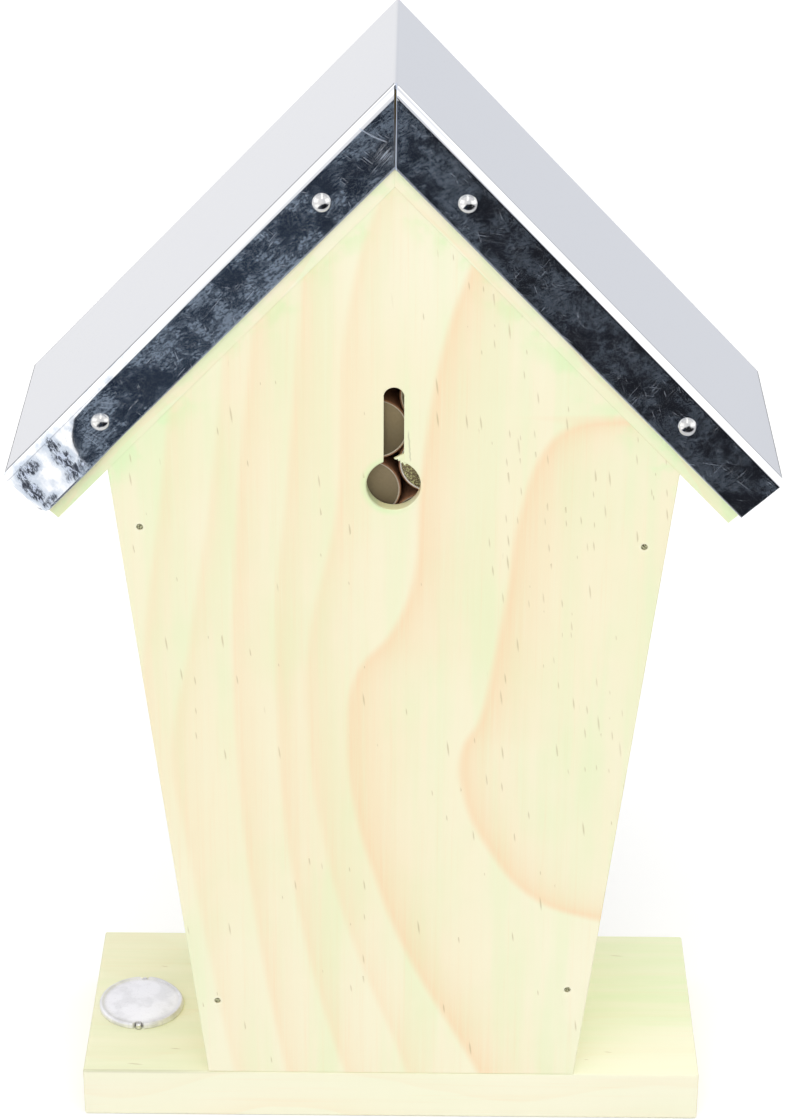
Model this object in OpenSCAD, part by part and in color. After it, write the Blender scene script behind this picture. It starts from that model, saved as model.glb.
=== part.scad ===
// Bee house: pine boards nailed round a stack of card nesting tubes, behind a thin
// back board, under one sheet of polished steel folded over the ridge and every edge.
// Millimetres. X runs across the house, -Y is the open front with the tube
// mouths, +Y is the back with the keyhole, and Z is up from the ground.

/* [Base] */
// Width of the base board
base_w = 150; // [130:1:200]
// Thickness of the base board
base_t = 13; // [9:0.5:20]
// Depth of the house, front to back, over its boards
house_d = 60; // [50:1:100]

/* [Body] */
// Width of the body where it stands on the base
foot_w = 88.8; // [75:0.2:110]
// Lean of each side wall, outwards as it rises
wall_lean = 6.5; // [0:0.1:9]
// Thickness of the side walls
wall_t = 10; // [8:0.5:14]
// Thickness of the thin back board
back_t = 3; // [2.5:0.5:12]

/* [Keyhole] */
// Diameter of the round hole that passes over a screw head
key_d = 12; // [8:0.5:16]
// Width of the slot that grips the screw's neck
slot_w = 4.5; // [3:0.25:6]
// Height of the round hole's centre over the ground
key_z = 172; // [120:1:180]
// Rise from the hole's centre to the top of the slot
slot_rise = 23.5; // [14:0.5:30]

/* [Roof] */
// Height of the ridge over the ground
ridge_h = 264; // [240:1:300]
// Slope of the roof from level
roof_pitch = 46.5; // [42:0.5:52]
// Length of each slope, ridge to eave
slope_l = 125; // [115:1:140]
// Thickness of the roof boards
roof_t = 15; // [10:0.5:18]

/* [Steel sheet] */
// Thickness of the sheet
sheet_t = 0.5; // [0.4:0.05:1]
// Depth of the flanges folded down over the board edges
flange_h = 12.6; // [10:0.2:14]
// Outer radius of the folds above the flanges
bend_r = 2; // [1.5:0.1:2.5]
// Outer radius of the folds along the eaves
eave_r = 1; // [0.6:0.1:2]
// Outer radius of the fold along the ridge
ridge_r = 0.8; // [0.4:0.1:0.9]
// Gap between the sheet and the boards under it
sheet_gap = 0.2; // [0.1:0.05:0.4]
// Width of the open seams at the mitres and corners
seam_w = 0.5; // [0.3:0.1:0.8]

/* [Nails] */
// Diameter of the domed nail heads
dome_d = 4.1; // [3:0.1:5]
// Height of the domed nail heads
dome_h = 1.4; // [0.8:0.1:1.8]
// Diameter of the domed nails' shanks
dome_shank_d = 1.6; // [1.2:0.1:2]
// Length of the domed nails' shanks
dome_shank_l = 14; // [8:1:20]
// Distance along the slope from the ridge to the upper domed nail
dome_ridge_off = 29.5; // [15:0.5:45]
// Distance along the slope from the eave to the lower domed nail
dome_eave_off = 25; // [12:0.5:40]
// Distance from the sheet's outer face down to the domed nails
dome_drop = 6.8; // [5:0.1:8]
// Diameter of the brads' heads
brad_head_d = 1.7; // [1.7:0.1:3]
// Thickness of the brads' heads
brad_head_t = 0.8; // [0.5:0.1:1.2]
// Diameter of the brads' shanks
brad_d = 1.3; // [1:0.1:1.6]
// Length of the brads
brad_l = 30; // [25:1:35]
// Depth that the brads' heads are punched under the surface
brad_set = 0.3; // [0.1:0.1:1]
// Height of the lower brads over the base
brad_low = 23; // [15:1:40]
// Distance from the side walls' shoulders down to the upper brads
brad_drop = 16; // [10:1:60]
// How far the brads of one side sit off the level of the other side
brad_scatter = 2; // [0:0.5:4]
// Distance from the side walls' ends to the outer base brads
base_brad_inset = 9; // [8:1:20]
// Gap between a nail and the hole it made
nail_gap = 0.1; // [0.05:0.05:0.2]

/* [Badge] */
// Diameter of the blank badge
badge_d = 21; // [15:0.5:24]
// Thickness of the badge at its rim
badge_rim = 1.2; // [0.8:0.1:2]
// Rise of the badge's domed face over its rim
badge_dome = 0.6; // [0.2:0.1:1.2]
// Distance from the end of the base to the badge's centre
badge_end = 12.1; // [12.1:0.5:18]
// Distance from the back of the base to the badge's centre
badge_back = 27.5; // [15:0.5:45]
// Diameter of the two pins that hold the badge
badge_pin_d = 1.4; // [1:0.1:1.8]
// Length of the badge pins
badge_pin_l = 9; // [5:1:12]

/* [Nesting tubes] */
// Outer diameter of a card tube
tube_d = 14.45; // [12:0.05:18]
// Wall thickness of a card tube
tube_wall = 0.6; // [0.5:0.1:1.5]
// Thickness of the card disc that closes a tube at the back
cap_t = 1.2; // [0.6:0.1:3]
// Depth of that disc inside the tube's back rim
cap_in = 0.3; // [0.1:0.1:1]
// Distance that the tube mouths sit back from the front edges
tube_recess = 2.5; // [0:0.5:10]
// Gap kept round each tube
tube_gap = 0.3; // [0.1:0.05:0.5]
// Gap left between the first tube on the floor and the right side wall
first_gap = 5.35; // [0:0.05:10]
// Sideways tilt of the house while the tubes went in
fill_tilt = 0.114; // [-0.2:0.002:0.2]

/* [Hidden] */
TUBE_LAYERS = 12;
$fn = 64;
LEFT = -1;
RIGHT = 1;
FRONT = -1;
REAR = 1;
SMALL = 0.001;     // slack for comparing lengths
PAST = 1;          // how far a cut runs past the face that it opens

half_d = house_d / 2;
ridge_tip = ridge_h + ridge_r * (1 / cos(roof_pitch) - 1);   // the ridge before its fold is rounded
sheet_half_d = half_d + sheet_gap + sheet_t;
board_in = sheet_t + sheet_gap;                  // depth of the boards under the sheet's outer face
ceiling = ridge_tip - (board_in + roof_t) / cos(roof_pitch);  // underside of the roof at the middle
wall_run = tan(wall_lean);
wall_across = wall_t / cos(wall_lean);           // a side wall's thickness, measured level
seat_r = (tube_d + tube_gap) / 2;                // half the spacing of tubes that rest together
tube_back = half_d - back_t - tube_gap;          // tubes end just off the back board
tube_front = -half_d + tube_recess;

// Half width of a body side at height z, for a line set in from the outer face
function side_x(z, inset = 0) = foot_w / 2 - inset + (z - base_t) * wall_run;
// Height where that line meets the underside of the roof
function side_top(inset = 0) =
    (ceiling - (foot_w / 2 - inset - base_t * wall_run) * tan(roof_pitch)) / (1 + wall_run * tan(roof_pitch));

// --- settling of the tubes: each one rolls to the lowest seat that is free ---

// Place of the first tube across the floor
first_x = side_x(base_t + seat_r, wall_across + seat_r / cos(wall_lean)) - first_gap;

// Whether a tube centred at p is clear of the floor, the walls and the roof
function in_house(p) = p[1] >= base_t + seat_r - SMALL
    && (side_x(p[1], wall_across) - abs(p[0])) * cos(wall_lean) >= seat_r - SMALL
    && (ceiling - p[1]) * cos(roof_pitch) - abs(p[0]) * sin(roof_pitch) >= seat_r - SMALL;
// Whether it is clear of the tubes in the stack
function off_tubes(p, stack) =
    min([for (q = stack) norm(p - q)]) >= 2 * seat_r - SMALL;
// Seats on the floor beside the tube at p
function floor_seats(p) = let (dz = base_t + seat_r - p[1])
    abs(dz) > 2 * seat_r ? [] :
    [for (s = [-1, 1]) [p[0] + s * sqrt(4 * seat_r * seat_r - dz * dz), base_t + seat_r]];
// Seats against each wall, on top of the tube at p
function wall_seats(p) = let (start = side_x(0, wall_across + seat_r / cos(wall_lean)))
    [for (s = [-1, 1]) let (a = 1 + wall_run * wall_run, off = start - s * p[0],
        b = wall_run * off - p[1], c = off * off + p[1] * p[1] - 4 * seat_r * seat_r)
        if (b * b >= a * c) let (z = (-b + sqrt(b * b - a * c)) / a) [s * (start + wall_run * z), z]];
// The seat in the valley between the tubes at p and q
function valley_seat(p, q) = let (d = q - p, l = norm(d), up = d[0] < 0 ? -1 : 1)
    (p + q) / 2 + up * [-d[1], d[0]] / l * sqrt(4 * seat_r * seat_r - l * l / 4);
// Every seat that the newest tubes offer
function seats(near) = [for (i = [0:len(near) - 1]) each concat(floor_seats(near[i]), wall_seats(near[i]),
    [for (j = [0:1:i - 1]) if (norm(near[i] - near[j]) < 4 * seat_r - SMALL) valley_seat(near[i], near[j])])];
// The last three rows or so, which are the tubes that a new one can rest on
function newest(stack) = let (keep = ceil(3 * side_x(side_top(), wall_across) / seat_r))
    [for (i = [max(0, len(stack) - keep):len(stack) - 1]) stack[i]];
function settle(stack) = let (
    free = [for (p = seats(newest(stack))) if (in_house(p) && off_tubes(p, stack)) p])
    len(free) == 0 ? stack : let (cost = [for (p = free) p[1] + fill_tilt * p[0]], low = min(cost))
    settle(concat(stack, [[for (i = [0:len(free) - 1]) if (cost[i] == low) free[i]][0]]));

// --- shared shapes ---

// Places something on one slope: X down the slope, Y along the house, Z off the sheet
module on_slope(side) {
    mirror([side == LEFT ? 1 : 0, 0, 0])
        translate([0, 0, ridge_tip]) rotate([0, roof_pitch, 0]) children();
}

// Radius of a fold on a face set in from its outside, which is sharp on a thick sheet
function fold_r(outer_r, inset) = max(outer_r - inset, 0.1);

// A box whose far side, near side and eave have rounded top edges, set in from the sheet
module pan(inset, depth) {
    r = fold_r(bend_r, inset);
    re = fold_r(eave_r, inset);
    half = sheet_half_d - inset;
    end = slope_l - inset;
    start = -ridge_h / 2;
    intersection() {
        translate([start, 0, 0]) rotate([90, 0, 90]) linear_extrude(end - start) {
            translate([-half, -depth]) square([2 * half, depth - inset - r]);
            translate([r - half, -depth]) square([2 * (half - r), depth - inset]);
            for (s = [-1, 1]) translate([s * (half - r), -inset - r]) circle(r);
        }
        translate([0, half, 0]) rotate([90, 0, 0]) linear_extrude(2 * half) {
            translate([start, -depth]) square([end - start, depth - inset - re]);
            translate([start, -depth]) square([end - re - start, depth - inset]);
            translate([end - re, -inset - re]) circle(re);
        }
    }
}

// Keeps only what lies on one side of the middle
module half_of(side) {
    intersection() {
        children();
        translate([side == LEFT ? -base_w : 0, -house_d, 0]) cube([base_w, 2 * house_d, 2 * ridge_h]);
    }
}

// Calls its children at each domed nail's seat on one end of the house, pointing out
module at_domes(end) {
    for (side = [LEFT, RIGHT], u = [dome_ridge_off, slope_l - dome_eave_off])
        on_slope(side) translate([u, end * sheet_half_d, -dome_drop]) rotate([-90 * end, 0, 0]) children();
}

// Calls its children at each brad of the back board, pointing out
module at_back_brads() {
    for (side = [LEFT, RIGHT], level = [-1, 1]) {
        z = (level < 0 ? base_t + brad_low : side_top() - brad_drop) + side * level * brad_scatter;
        translate([side * side_x(z, wall_across / 2), half_d, z]) rotate([-90, 0, 0]) children();
    }
}

// Calls its children at each brad of the base, pointing out
module at_base_brads() {
    wall_x = side_x(base_t + (brad_l - base_t) / 2, wall_across / 2);
    reach = (house_d - back_t) / 2 - base_brad_inset;
    for (side = [LEFT, RIGHT], k = [-1:1])
        translate([side * wall_x, k * reach - back_t / 2, 0]) rotate([180, 0, 0]) children();
}

// Calls its children at the badge's two pins, standing on the base
module at_badge_pins() {
    for (s = [-1, 1])
        translate([base_w / 2 - badge_end, half_d - badge_back + s * (badge_d - badge_pin_d) / 2, base_t])
            children();
}

module dome_hole() {
    translate([0, 0, -dome_shank_l - PAST]) cylinder(d = dome_shank_d + 2 * nail_gap, h = dome_shank_l + 2 * PAST);
}

module dome_nail() {
    cap_r = (dome_d * dome_d / 4 + dome_h * dome_h) / (2 * dome_h);
    intersection() {
        translate([0, 0, dome_h - cap_r]) sphere(cap_r);
        cylinder(d = 2 * dome_d, h = 2 * dome_h);
    }
    translate([0, 0, -dome_shank_l + dome_shank_d]) cylinder(d = dome_shank_d, h = dome_shank_l - dome_shank_d);
    translate([0, 0, -dome_shank_l])
        cylinder(d1 = dome_shank_d / 8, d2 = dome_shank_d, h = dome_shank_d);
}

module brad_hole() {
    seat = brad_set + brad_head_t;
    translate([0, 0, -seat]) cylinder(d = brad_head_d + 2 * nail_gap, h = seat + PAST);
    translate([0, 0, -brad_set - brad_l - nail_gap]) cylinder(d = brad_d + 2 * nail_gap, h = brad_l);
}

module brad() {
    seat = brad_set + brad_head_t;
    translate([0, 0, -seat]) cylinder(d = brad_head_d, h = brad_head_t);
    translate([0, 0, -brad_set - brad_l + brad_d]) cylinder(d = brad_d, h = brad_l - brad_head_t - brad_d);
    translate([0, 0, -brad_set - brad_l]) cylinder(d1 = brad_d / 8, d2 = brad_d, h = brad_d);
}

// --- boards ---

module base_board() color("wheat") {
    difference() {
        translate([-base_w / 2, -half_d, 0]) cube([base_w, house_d, base_t]);
        at_base_brads() brad_hole();
        at_badge_pins() translate([0, 0, badge_rim - badge_pin_l - nail_gap])
            cylinder(d = badge_pin_d + 2 * nail_gap, h = badge_pin_l);
    }
}

module back_board() color("palegoldenrod") {
    shoulder = side_top();
    difference() {
        translate([0, half_d, 0]) rotate([90, 0, 0]) linear_extrude(back_t) polygon([
            [-side_x(base_t), base_t], [side_x(base_t), base_t], [side_x(shoulder), shoulder],
            [0, ceiling], [-side_x(shoulder), shoulder]]);
        translate([0, half_d + PAST, key_z]) rotate([90, 0, 0]) {
            cylinder(d = key_d, h = back_t + 2 * PAST);
            translate([-slot_w / 2, 0, 0])
                cube([slot_w, slot_rise - slot_w / 2, back_t + 2 * PAST]);
            translate([0, slot_rise - slot_w / 2, 0]) cylinder(d = slot_w, h = back_t + 2 * PAST);
        }
        at_back_brads() brad_hole();
    }
}

module side_wall(side) {
    outer_top = side_top();
    inner_top = side_top(wall_across);
    difference() {
        mirror([side == LEFT ? 1 : 0, 0, 0])
            translate([0, half_d - back_t, 0]) rotate([90, 0, 0]) linear_extrude(house_d - back_t) polygon([
                [side_x(base_t, wall_across), base_t], [side_x(base_t), base_t],
                [side_x(outer_top), outer_top], [side_x(inner_top, wall_across), inner_top]]);
        at_back_brads() brad_hole();
        at_base_brads() brad_hole();
    }
}

module left_side_wall() color("moccasin") side_wall(LEFT);
module right_side_wall() color("moccasin") side_wall(RIGHT);

module roof_board(side) {
    difference() {
        half_of(side) on_slope(side) pan(board_in, board_in + roof_t);
        for (end = [FRONT, REAR]) at_domes(end) dome_hole();
    }
}

module left_roof_board() color("khaki") roof_board(LEFT);
module right_roof_board() color("khaki") roof_board(RIGHT);

// --- roof sheet ---

module roof_sheet() color("lightsteelblue") {
    fold_z = ridge_tip - ridge_r / cos(roof_pitch);
    difference() {
        for (side = [LEFT, RIGHT]) half_of(side) on_slope(side) difference() {
            pan(0, flange_h);
            pan(sheet_t, flange_h + PAST);
            // open corners between the flanges and the eave lip
            for (end = [FRONT, REAR])
                translate([slope_l - bend_r, end * (sheet_half_d - sheet_t - seam_w / 2) - seam_w / 2,
                    -flange_h - PAST]) cube([bend_r + PAST, seam_w, flange_h + PAST - bend_r]);
        }
        // mitre seams of the flanges at the ridge
        for (end = [FRONT, REAR])
            translate([-seam_w / 2, end * (sheet_half_d - bend_r / 2 + house_d / 2) - house_d / 2, 0])
                cube([seam_w, house_d, 2 * ridge_h]);
        // rounded fold along the ridge
        translate([0, house_d, 0]) rotate([90, 0, 0]) linear_extrude(2 * house_d) difference() {
            translate([-ridge_r * sin(roof_pitch), fold_z + ridge_r * cos(roof_pitch)])
                square([2 * ridge_r * sin(roof_pitch), ridge_r]);
            translate([0, fold_z]) circle(ridge_r);
        }
        for (end = [FRONT, REAR]) at_domes(end) dome_hole();
    }
}

// --- nails and badge ---

module rear_roof_nails() color("gainsboro") at_domes(REAR) dome_nail();
module front_roof_nails() color("gainsboro") at_domes(FRONT) dome_nail();
module back_board_nails() color("dimgray") at_back_brads() brad();
module base_nails() color("dimgray") at_base_brads() brad();

module badge_disc() color("silver") {
    face_r = (badge_d * badge_d / 4 + badge_dome * badge_dome) / (2 * badge_dome);
    difference() {
        translate([base_w / 2 - badge_end, half_d - badge_back, base_t]) intersection() {
            cylinder(d = badge_d, h = badge_rim + badge_dome);
            translate([0, 0, badge_rim + badge_dome - face_r]) sphere(face_r, $fn = 256);
        }
        at_badge_pins() translate([0, 0, -PAST])
            cylinder(d = badge_pin_d + 2 * nail_gap, h = badge_rim + badge_dome + 2 * PAST);
    }
}

module badge_pins() color("silver") {
    at_badge_pins() translate([0, 0, badge_rim - badge_pin_l]) cylinder(d = badge_pin_d, h = badge_pin_l);
}

// --- tubes ---

module tube_layer(k) {
    stack = settle([[first_x, base_t + seat_r]]);
    bore = tube_d - 2 * tube_wall;
    for (i = [0:len(stack) - 1]) if (floor(i * TUBE_LAYERS / len(stack)) == k - 1)
        translate([stack[i][0], tube_back, stack[i][1]]) rotate([90, 0, 0]) difference() {
            cylinder(d = tube_d, h = tube_back - tube_front);
            translate([0, 0, -PAST]) cylinder(d = bore, h = PAST + cap_in);
            translate([0, 0, cap_in + cap_t]) cylinder(d = bore, h = tube_back - tube_front);
        }
}

module tube_layer_01() color("peru") tube_layer(1);
module tube_layer_02() color("peru") tube_layer(2);
module tube_layer_03() color("peru") tube_layer(3);
module tube_layer_04() color("peru") tube_layer(4);
module tube_layer_05() color("peru") tube_layer(5);
module tube_layer_06() color("peru") tube_layer(6);
module tube_layer_07() color("peru") tube_layer(7);
module tube_layer_08() color("peru") tube_layer(8);
module tube_layer_09() color("peru") tube_layer(9);
module tube_layer_10() color("peru") tube_layer(10);
module tube_layer_11() color("peru") tube_layer(11);
module tube_layer_12() color("peru") tube_layer(12);

base_board();
back_board();
left_side_wall();
right_side_wall();
left_roof_board();
right_roof_board();
roof_sheet();
rear_roof_nails();
front_roof_nails();
back_board_nails();
base_nails();
badge_disc();
badge_pins();
tube_layer_01();
tube_layer_02();
tube_layer_03();
tube_layer_04();
tube_layer_05();
tube_layer_06();
tube_layer_07();
tube_layer_08();
tube_layer_09();
tube_layer_10();
tube_layer_11();
tube_layer_12();
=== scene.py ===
"""Dresses the bee house: pine boards, folded steel roof sheet, nails, badge and card tubes."""
import math
import random

import bmesh
import bpy
import numpy as np
from mathutils import Matrix, Vector


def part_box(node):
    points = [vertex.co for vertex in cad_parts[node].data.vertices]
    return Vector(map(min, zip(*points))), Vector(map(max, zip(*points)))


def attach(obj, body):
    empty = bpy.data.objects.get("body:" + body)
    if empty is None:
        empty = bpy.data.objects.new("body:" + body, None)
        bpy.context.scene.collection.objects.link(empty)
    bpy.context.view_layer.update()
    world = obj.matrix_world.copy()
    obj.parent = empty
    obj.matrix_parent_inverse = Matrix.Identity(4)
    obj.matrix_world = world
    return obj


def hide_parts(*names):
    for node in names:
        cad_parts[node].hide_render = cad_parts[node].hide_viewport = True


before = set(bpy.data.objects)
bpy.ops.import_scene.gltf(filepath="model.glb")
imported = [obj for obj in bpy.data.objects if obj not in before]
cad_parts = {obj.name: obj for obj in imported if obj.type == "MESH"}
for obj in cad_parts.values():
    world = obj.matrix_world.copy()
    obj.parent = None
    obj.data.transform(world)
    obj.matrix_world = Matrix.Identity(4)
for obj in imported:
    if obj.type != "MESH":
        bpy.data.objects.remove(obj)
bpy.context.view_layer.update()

bl_info = {
    "name": "Bee House Dresser",
    "version": (1, 0, 0),
    "blender": (4, 5, 0),
    "location": "View3D > Sidebar > Bee House",
    "description": "Dresses the packed bee house with timber, steel, card and a studio",
    "category": "Object",
}

MM = 0.001
BODY = "root"
LEFT, RIGHT = -1, 1
FRONT, REAR = -1, 1


def paint(red, green, blue):
    """The linear colour of a paint chart value from 0 to 255."""
    def linear(value):
        value /= 255
        return value / 12.92 if value <= 0.04045 else ((value + 0.055) / 1.055) ** 2.4
    return tuple(linear(value) for value in (red, green, blue))


def share(value, low, high):
    """How far value is from low to high, eased at both ends."""
    t = min(1.0, max(0.0, (value - low) / (high - low)))
    return t * t * (3 - 2 * t)


# --- what the frame says ---------------------------------------------------------------

def roof_plane():
    """The roof's pitch, and the height where the two slopes of the sheet would meet."""
    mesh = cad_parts["roof_sheet"].data
    face = max((p for p in mesh.polygons if p.normal.x > 0.3 and p.normal.z > 0.3),
               key=lambda p: p.area * (1 + p.center.z))
    pitch = math.atan2(face.normal.x, face.normal.z)
    tip = face.center.z + face.center.x * math.tan(pitch)
    return pitch, tip


PITCH, RIDGE_TIP = roof_plane()
SIN, COS = math.sin(PITCH), math.cos(PITCH)
SHEET_LOW, SHEET_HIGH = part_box("roof_sheet")
SLOPE = (SHEET_HIGH.x - SHEET_LOW.x) / 2 / COS


def solids(node):
    """The separate solids of a CAD node, each as its rows of vertices."""
    made = bmesh.new()
    made.from_mesh(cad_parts[node].data)
    bmesh.ops.remove_doubles(made, verts=made.verts, dist=1e-6)
    waiting, groups = set(made.verts), []
    while waiting:
        front = [waiting.pop()]
        group = list(front)
        while front:
            for edge in front.pop().link_edges:
                for vert in edge.verts:
                    if vert in waiting:
                        waiting.remove(vert)
                        front.append(vert)
                        group.append(vert)
        groups.append(np.array([v.co for v in group]))
    made.free()
    return sorted(groups, key=lambda g: (round(g[:, 2].mean(), 4), g[:, 0].mean()))


# --- shader maths ----------------------------------------------------------------------

class Wire:
    """The output of a shader node, so that maths on it is written as a Python expression."""

    def __init__(self, finish, socket):
        self.finish = finish
        self.socket = socket

    def sum(self, operation, *terms, clamp=False):
        """A Math node on the terms."""
        return self.finish.node("ShaderNodeMath", {"operation": operation, "use_clamp": clamp},
                                dict(enumerate(terms)))

    def __add__(self, other):
        return self.sum("ADD", self, other)

    def __radd__(self, other):
        return self.sum("ADD", other, self)

    def __sub__(self, other):
        return self.sum("SUBTRACT", self, other)

    def __rsub__(self, other):
        return self.sum("SUBTRACT", other, self)

    def __mul__(self, other):
        return self.sum("MULTIPLY", self, other)

    def __rmul__(self, other):
        return self.sum("MULTIPLY", other, self)

    def __truediv__(self, other):
        return self.sum("DIVIDE", self, other)

    def __rtruediv__(self, other):
        return self.sum("DIVIDE", other, self)

    def __pow__(self, other):
        return self.sum("POWER", self, other)

    def __neg__(self):
        return self.sum("MULTIPLY", self, -1.0)

    def __abs__(self):
        return self.sum("ABSOLUTE", self)

    def exp(self):
        return self.sum("EXPONENT", self)

    def root(self):
        return self.sum("SQRT", self)

    def floor(self):
        return self.sum("FLOOR", self)

    def angle(self, other):
        return self.sum("ARCTAN2", self, other)

    def high(self, other):
        return self.sum("MAXIMUM", self, other)

    def limit(self):
        return self.sum("ADD", self, 0.0, clamp=True)

    def step(self, low, high):
        """0 below low and 1 above high, eased between them; low may be the larger one."""
        if low > high:
            return 1 - self.step(high, low)
        return self.finish.node("ShaderNodeMapRange", {"interpolation_type": "SMOOTHSTEP"},
                                {"Value": self, "From Min": low, "From Max": high})


class Finish:
    """A material in the making. Lengths in it are millimetres in the object's own frame."""

    def __init__(self, owner, coordinates="Object", scale=1 / MM):
        self.owner = owner
        owner.use_nodes = True
        self.tree = owner.node_tree
        self.tree.nodes.clear()
        place = self.node("ShaderNodeTexCoord", out=coordinates)
        apart = self.node("ShaderNodeSeparateXYZ", {}, {0: place}).socket.node.outputs
        self.x, self.y, self.z = (Wire(self, o) * scale for o in apart)

    def node(self, kind, settings=None, values=None, out=0):
        """Adds a node: its settings first, then the values or wires of its sockets."""
        made = self.tree.nodes.new(kind)
        for name, value in (settings or {}).items():
            if name == "points":
                line = made.mapping.curves[0].points
                while len(line) < len(value):
                    line.new(0.5, 0.5)
                for point, place in zip(line, value):
                    point.location = place
                made.mapping.update()
            else:
                setattr(made, name, value)
        for name, value in (values or {}).items():
            socket = made.inputs[name]
            if isinstance(value, Wire):
                self.tree.links.new(value.socket, socket)
            elif socket.type == "RGBA" and len(value) == 3:
                socket.default_value = (*value, 1.0)
            else:
                socket.default_value = value
        return Wire(self, made.outputs[out])

    def point(self, x, y, z=0.0):
        return self.node("ShaderNodeCombineXYZ", {}, {"X": x, "Y": y, "Z": z})

    def noise(self, x, y, z=0.0, detail=2.0, roughness=0.5, distortion=0.0):
        """Noise from about 0.25 to 0.75 with one lump to a unit."""
        return self.node("ShaderNodeTexNoise", {"noise_dimensions": "3D"}, {
            "Vector": self.point(x, y, z), "Scale": 1.0, "Detail": detail,
            "Roughness": roughness, "Distortion": distortion})

    def cells(self, x, y, z=0.0):
        """Scattered points, one to a unit: (nearest point's x, y, two random numbers)."""
        made = self.node("ShaderNodeTexVoronoi", {"voronoi_dimensions": "3D", "feature": "F1"},
                         {"Vector": self.point(x, y, z), "Scale": 1.0}).socket.node.outputs
        spot = self.node("ShaderNodeSeparateXYZ", {}, {0: Wire(self, made["Position"])})
        luck = self.node("ShaderNodeSeparateColor", {}, {0: Wire(self, made["Color"])})
        return tuple(Wire(self, wire.socket.node.outputs[i])
                     for wire in (spot, luck) for i in (0, 1))

    def blend(self, factor, first, second):
        """Colours mixed by a factor that may vary over the surface."""
        return self.node("ShaderNodeMix", {"data_type": "RGBA"},
                         {0: factor, 6: first, 7: second}, out=2)

    def facing(self, x, y, z):
        """How squarely the surface faces a direction, from -1 to 1."""
        normal = self.node("ShaderNodeNewGeometry", out="Normal")
        return self.node("ShaderNodeVectorMath", {"operation": "DOT_PRODUCT"},
                         {0: normal, 1: (x, y, z)}, out="Value")

    def bump(self, height, depth, strength=1.0):
        """A normal from a height wire; depth is in millimetres for a height of 1."""
        return self.node("ShaderNodeBump", {}, {
            "Height": height, "Distance": depth * MM, "Strength": strength})

    def shine(self, **values):
        """One Principled surface."""
        names = {name.replace("_", " ").title().replace("Ior", "IOR"): value
                 for name, value in values.items()}
        return self.node("ShaderNodeBsdfPrincipled", {}, names)

    def done(self, **values):
        """Closes the material with one Principled surface."""
        return self.close(self.shine(**values))

    def close(self, surface, end="ShaderNodeOutputMaterial"):
        """Ends the tree with a surface and hands over the finished material or world."""
        self.tree.links.new(surface.socket, self.tree.nodes.new(end).inputs["Surface"])
        return self.owner


def new_finish(name):
    return Finish(bpy.data.materials.new(name))


# --- pieces ----------------------------------------------------------------------------

def piece(name, mesh, finishes, stands_for=(), sharp=35):
    """Adds a mesh to the scene as a part of the house."""
    mesh.name = name
    made = bpy.data.objects.new(name, mesh)
    bpy.context.scene.collection.objects.link(made)
    for finish in finishes:
        mesh.materials.append(finish)
    mesh.polygons.foreach_set("use_smooth", [True] * len(mesh.polygons))
    mesh.set_sharp_from_angle(angle=math.radians(sharp))
    evening = made.modifiers.new("even_flats", "WEIGHTED_NORMAL")
    evening.keep_sharp, evening.weight = True, 100
    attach(made, BODY)
    if stands_for:
        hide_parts(*stands_for)
    return made


def finished(made):
    """Turns a bmesh into a mesh with outward normals."""
    bmesh.ops.recalc_face_normals(made, faces=made.faces)
    mesh = bpy.data.meshes.new("piece")
    made.to_mesh(mesh)
    made.free()
    return mesh


def clean_copy(node):
    """A copy of a CAD node's mesh, welded and with its flat faces in one piece each."""
    made = bmesh.new()
    made.from_mesh(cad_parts[node].data)
    bmesh.ops.remove_doubles(made, verts=made.verts, dist=1e-6)
    bmesh.ops.dissolve_limit(made, angle_limit=math.radians(0.2), verts=made.verts,
                             edges=made.edges)
    return made


def round_edges(made, radius, shortest, segments=2, keep=lambda edge: True):
    """Rounds the sharp edges that are at least as long as shortest."""
    found = [e for e in made.edges if len(e.link_faces) == 2 and e.calc_length() >= shortest
             and e.calc_face_angle(0) > math.radians(30) and keep(e)]
    if found:
        bmesh.ops.bevel(made, geom=found, offset=radius, segments=segments, profile=0.5,
                        affect="EDGES", clamp_overlap=False)


def turned(made, profile, centre, axis, across, sides=48, slots=None, wobble=None):
    """Adds a turned solid: profile is (radius, height) pairs, height along axis, and slots
    gives the finish of each stretch of it."""
    axis, across = Vector(axis).normalized(), Vector(across).normalized()
    other = axis.cross(across)
    rings = []
    for radius, height in profile:
        if radius < 1e-7:
            rings.append([made.verts.new(centre + axis * height)])
            continue
        ring = []
        for i in range(sides):
            turn = 2 * math.pi * i / sides
            r, h = (radius, height) if wobble is None else wobble(radius, height, turn)
            ring.append(made.verts.new(
                centre + axis * h + (across * math.cos(turn) + other * math.sin(turn)) * r))
        rings.append(ring)
    for stretch, (first, second) in enumerate(zip(rings, rings[1:])):
        for i in range(sides):
            j = (i + 1) % sides
            loop = [first[i % len(first)], first[j % len(first)],
                    second[j % len(second)], second[i % len(second)]]
            loop = [v for k, v in enumerate(loop) if v not in loop[:k]]
            if len(loop) > 2:
                made.faces.new(loop).material_index = slots[stretch] if slots else 0
    return rings


# --- pine ------------------------------------------------------------------------------

RING_REACH = 270.0  # longest way along the grain that a drawn ring can run, in millimetres
RING_LOW, RING_ROOM = -75.0, 150.0  # where its places across the grain start, and their span


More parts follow.
